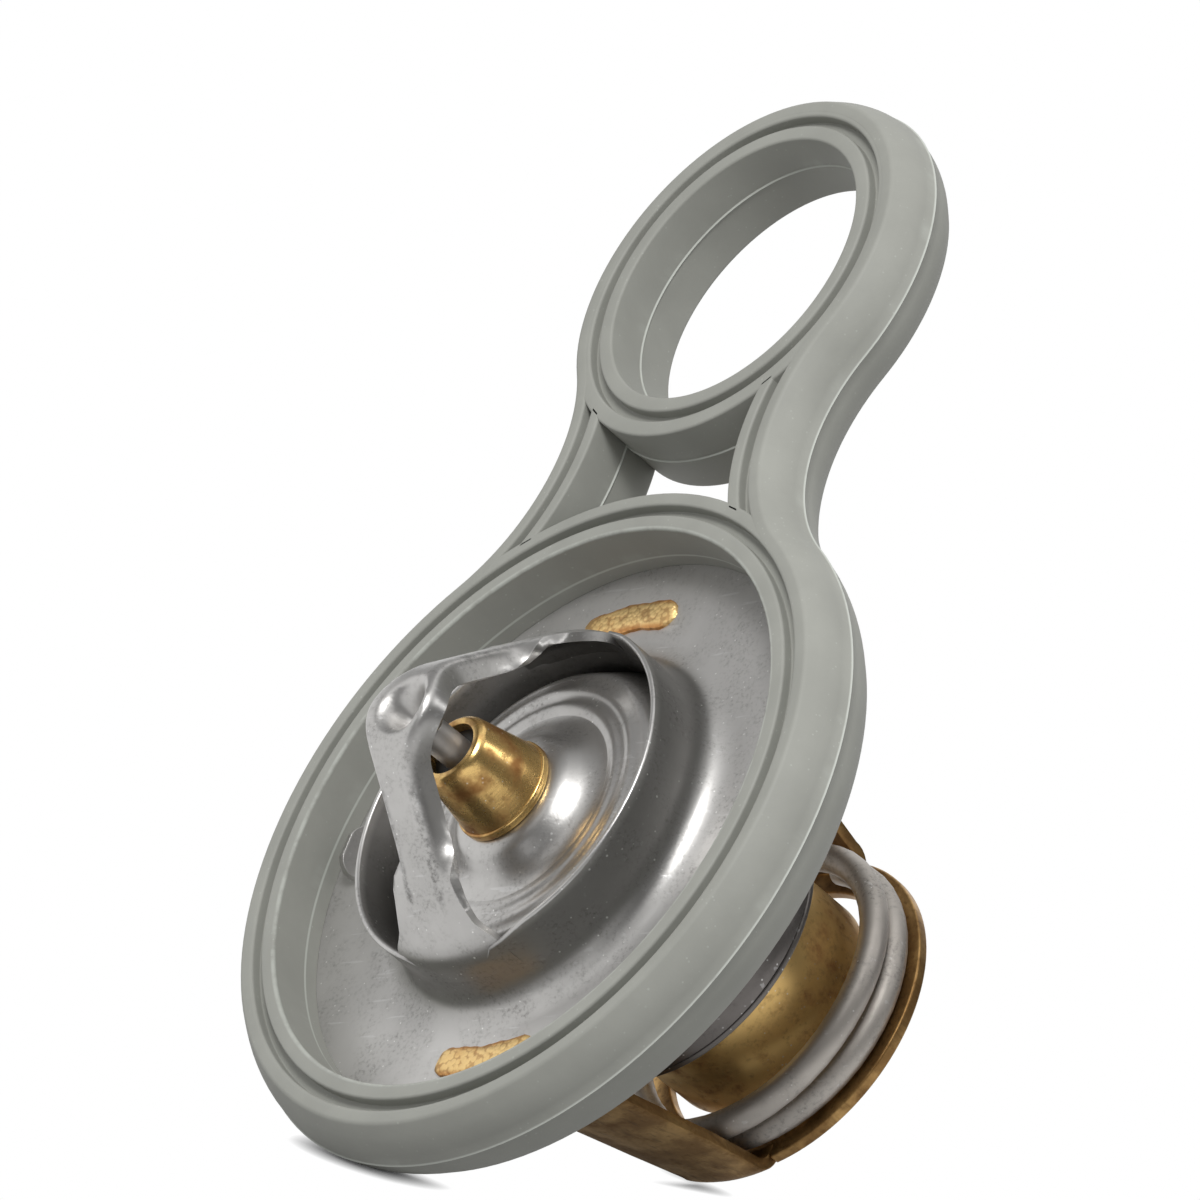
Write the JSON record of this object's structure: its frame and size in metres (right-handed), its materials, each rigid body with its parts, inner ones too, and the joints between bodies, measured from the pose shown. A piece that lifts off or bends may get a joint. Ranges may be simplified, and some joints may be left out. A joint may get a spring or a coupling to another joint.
{
  "type": "engine thermostat",
  "caption": "Wax-element engine thermostat: pressed steel flange with arched bridge, dished valve disc, coil spring in a brass stirrup, and a keyhole rubber seal with a by-pass ring.",
  "frame": {"origin": "centre of the flange, on the valve's axis, in the middle plane of the seal", "axes": "+Z along the valve's axis towards the bridge's nose, +Y towards the by-pass ring"},
  "size_m": [0.066, 0.1081, 0.0515],
  "materials": {
    "seal_rubber": "matt grey moulded rubber",
    "flange_steel": "satin pressed sheet",
    "stirrup_brass": "dull rolled strip",
    "disc_steel": "satin pressed sheet",
    "cup_steel": "satin pressed sheet",
    "capsule_brass": "drawn, lightly tarnished",
    "sleeve_brass": "turned, tarnished",
    "piston_steel": "ground",
    "spring_steel": "drawn wire",
    "inner_rubber": "matt",
    "wax": "dull wax"
  },
  "bodies": {
    "housing": {"seal_gasket": "seal_rubber", "flange_bridge": "flange_steel", "stirrup": "stirrup_brass", "piston": "piston_steel", "valve_spring": "spring_steel"},
    "valve": {"valve_disc": "disc_steel", "spring_cup": "cup_steel", "clamp_ring": "cup_steel", "wax_capsule": "capsule_brass", "guide_sleeve": "sleeve_brass", "wiper_ring": "inner_rubber", "rubber_boot": "inner_rubber", "wax_charge": "wax"}
  },
  "joints": [
    {"name": "valve_lift", "type": "slide", "parent": "housing", "child": "valve", "axis": [0, 0, -1], "range_m": [0, 0.007], "stiffness_N_per_m": 6000, "springref_m": -0.01, "deforming": ["valve_spring"]}
  ]
}
